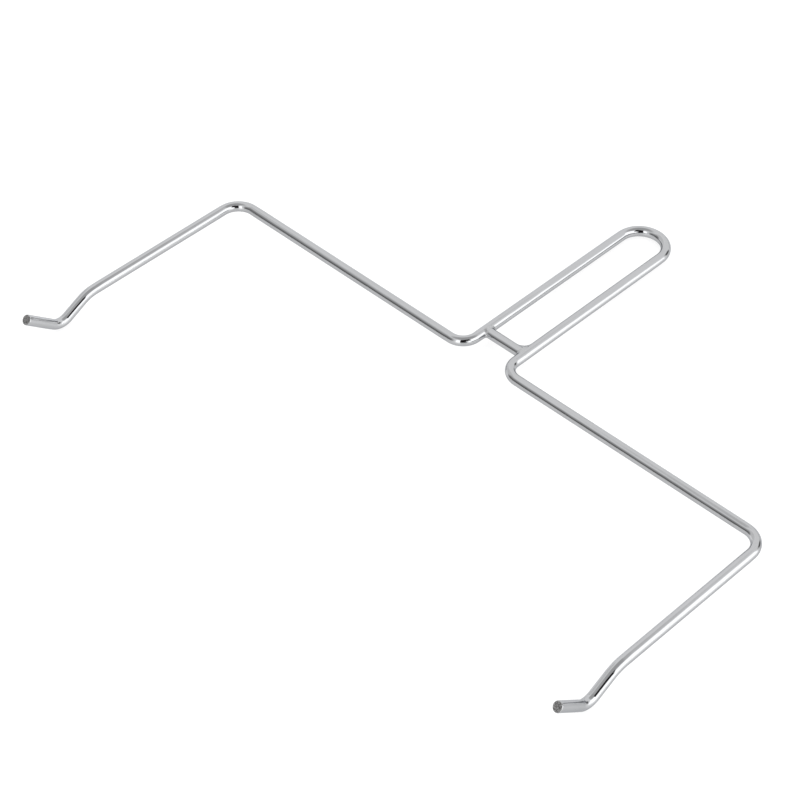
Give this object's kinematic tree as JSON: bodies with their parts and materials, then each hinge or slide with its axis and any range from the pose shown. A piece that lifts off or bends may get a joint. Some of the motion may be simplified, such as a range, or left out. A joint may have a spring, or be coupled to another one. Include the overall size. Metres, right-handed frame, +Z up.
{
  "type": "wire hanging bow",
  "caption": "Chrome wire bow with two long arms, hooked tips and a narrow hanging loop, stiffened by a welded cross tie.",
  "frame": {"origin": "On the surface that the bow lies on, under the middle of its bounding box.", "axes": "+X along the rail towards the right arm, +Y towards the hanging loop, +Z up from the surface. The two arms and their hooked tips reach towards -Y."},
  "size_m": [0.387, 0.303, 0.0217],
  "materials": {
    "chrome_wire": "bright chrome plate over drawn steel wire",
    "plated_weld": "chrome plate over a hand-dressed weld, a little duller than the wire"
  },
  "bodies": {
    "root": {"bow_wire": "chrome_wire", "cross_tie": "chrome_wire", "left_weld": "plated_weld", "right_weld": "plated_weld"}
  },
  "joints": []
}
